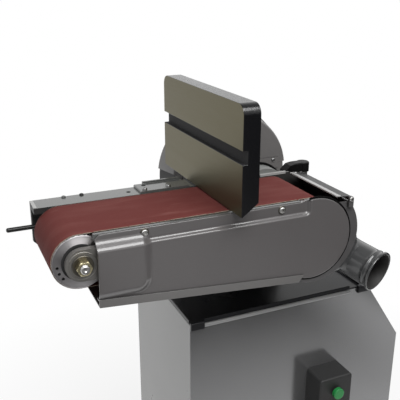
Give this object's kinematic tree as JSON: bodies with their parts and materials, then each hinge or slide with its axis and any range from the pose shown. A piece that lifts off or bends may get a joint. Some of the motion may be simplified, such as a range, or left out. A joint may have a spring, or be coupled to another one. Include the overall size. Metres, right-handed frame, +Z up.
{
  "type": "belt and disc sander",
  "caption": "Floor-standing sander with a wide flat belt on a tilting arm, a work table over the belt, a large disc behind it and a dust port.",
  "frame": {"origin": "on the floor, at the middle of the four floor bolt holes", "axes": "+X along the arm from the idler drum to the drive drum, +Y from the belt to the disc, +Z up"},
  "size_m": [0.8983, 0.526, 1.1451],
  "materials": {
    "stand_grey": "satin paint",
    "stand_black": "gloss paint",
    "cover_grey": "satin paint",
    "guard_grey": "satin paint",
    "casting_grey": "painted casting",
    "table_black": "gloss paint with a machined face",
    "machined_aluminium": "turned",
    "bright_steel": "machined",
    "zinc_screws": "plated",
    "abrasive": "coated grit",
    "black_plastic": "moulded",
    "black_rubber": "moulded",
    "green_plastic": "moulded",
    "red_plastic": "moulded",
    "motor_grey": "painted casting",
    "black_steel": "satin"
  },
  "bodies": {
    "stand": {"left_foot_rail": "stand_grey", "right_foot_rail": "stand_grey", "front_panel": "stand_grey", "left_panel": "stand_grey", "right_panel": "stand_grey", "rear_panel": "stand_grey", "panel_screws": "zinc_screws", "stand_top": "stand_black", "switch_box": "black_plastic", "cord_gland": "black_plastic", "motor": "motor_grey", "motor_shelf": "stand_grey", "drive_belt": "black_rubber", "headstock": "casting_grey", "headstock_bolts": "bright_steel", "spindle_bearings": "bright_steel", "pulley_cover": "guard_grey", "disc_guard": "guard_grey", "disc_shroud": "guard_grey", "guard_screws": "zinc_screws", "table_seat_rail": "casting_grey"},
    "start_button": {"start_button": "green_plastic"},
    "stop_button": {"stop_button": "red_plastic"},
    "motor_rotor": {"motor_shaft": "bright_steel", "motor_pulley": "motor_grey"},
    "spindle": {"spindle": "bright_steel", "spindle_pulley": "motor_grey", "drive_drum": "machined_aluminium", "disc_plate": "machined_aluminium", "disc_abrasive": "abrasive"},
    "arm": {"arm_frame": "casting_grey", "cross_beam": "casting_grey", "platen": "bright_steel", "front_rail": "cover_grey", "side_cover": "cover_grey", "cover_screws": "zinc_screws", "dust_pan": "cover_grey", "dust_hood": "cover_grey", "dust_port": "cover_grey", "sanding_belt": "abrasive", "table_bracket": "casting_grey", "bracket_screws": "zinc_screws", "trunnion_studs": "bright_steel", "arm_lock_stud": "bright_steel", "tension_spring": "bright_steel", "flap_pin": "bright_steel"},
    "drum_flap": {"drum_flap": "guard_grey"},
    "carriage": {"idler_yoke": "casting_grey", "idler_axle": "bright_steel", "axle_nut": "zinc_screws"},
    "idler": {"idler_drum": "machined_aluminium", "idler_bearings": "bright_steel"},
    "tension_lever": {"tension_lever": "black_steel"},
    "tracking_knob": {"tracking_knob": "black_plastic"},
    "arm_lock_lever": {"arm_lock_lever": "black_plastic"},
    "table": {"table": "table_black", "table_trunnion": "casting_grey"},
    "table_lock_lever": {"table_lock_lever": "black_plastic"}
  },
  "joints": [
    {"name": "arm_tilt", "type": "hinge", "parent": "stand", "child": "arm", "pos_m": [-0.035, -0.1385, 0.8895], "axis": [0, 1, 0], "range_deg": [0, 90]},
    {"name": "spindle_spin", "type": "hinge", "parent": "stand", "child": "spindle", "pos_m": [-0.035, -0.1385, 0.8895], "axis": [0, 1, 0], "continuous": true},
    {"name": "motor_spin", "type": "hinge", "parent": "stand", "child": "motor_rotor", "pos_m": [-0.035, 0.0635, 0.334], "axis": [0, 1, 0], "continuous": true},
    {"name": "carriage_slide", "type": "slide", "parent": "arm", "child": "carriage", "axis": [1, 0, 0], "range_m": [0, 0.008], "deforming": ["tension_spring"]},
    {"name": "idler_spin", "type": "hinge", "parent": "carriage", "child": "idler", "pos_m": [-0.48784, -0.1385, 0.8895], "axis": [0, 1, 0], "continuous": true},
    {"name": "tension_lever_turn", "type": "hinge", "parent": "arm", "child": "tension_lever", "pos_m": [-0.50784, -0.0325, 0.894], "axis": [0, 1, 0], "range_deg": [-90, 0]},
    {"name": "tracking_turn", "type": "hinge", "parent": "arm", "child": "tracking_knob", "pos_m": [-0.44783, 0.0015, 0.89], "axis": [0, 1, 0], "range_deg": [-180, 180]},
    {"name": "arm_lock_turn", "type": "hinge", "parent": "arm", "child": "arm_lock_lever", "pos_m": [0.072, -0.0235, 0.934], "axis": [0, 0, 1], "range_deg": [-40, 0]},
    {"name": "table_tilt", "type": "hinge", "parent": "arm", "child": "table", "pos_m": [-0.20883, -0.0785, 0.9425], "axis": [0, 1, 0], "range_deg": [0, 30]},
    {"name": "table_lock_turn", "type": "hinge", "parent": "arm", "child": "table_lock_lever", "pos_m": [-0.11748, 0.0165, 0.98317], "axis": [0, 1, 0], "range_deg": [-60, 0]},
    {"name": "flap_lift", "type": "hinge", "parent": "arm", "child": "drum_flap", "pos_m": [0.04958, -0.1385, 0.933], "axis": [0, 1, 0], "range_deg": [0, 110]},
    {"name": "start_press", "type": "slide", "parent": "stand", "child": "start_button", "axis": [0, 1, 0], "range_m": [0, 0.004], "stiffness_N_per_m": 300},
    {"name": "stop_press", "type": "slide", "parent": "stand", "child": "stop_button", "axis": [0, 1, 0], "range_m": [0, 0.004], "stiffness_N_per_m": 300}
  ],
  "couplings": [
    {"joint": "motor_spin", "follows": "spindle_spin", "ratio": 0.84444},
    {"joint": "idler_spin", "follows": "spindle_spin", "ratio": 1},
    {"joint": "tension_lever_turn", "follows": "carriage_slide", "rad_per_m": -196.35}
  ]
}
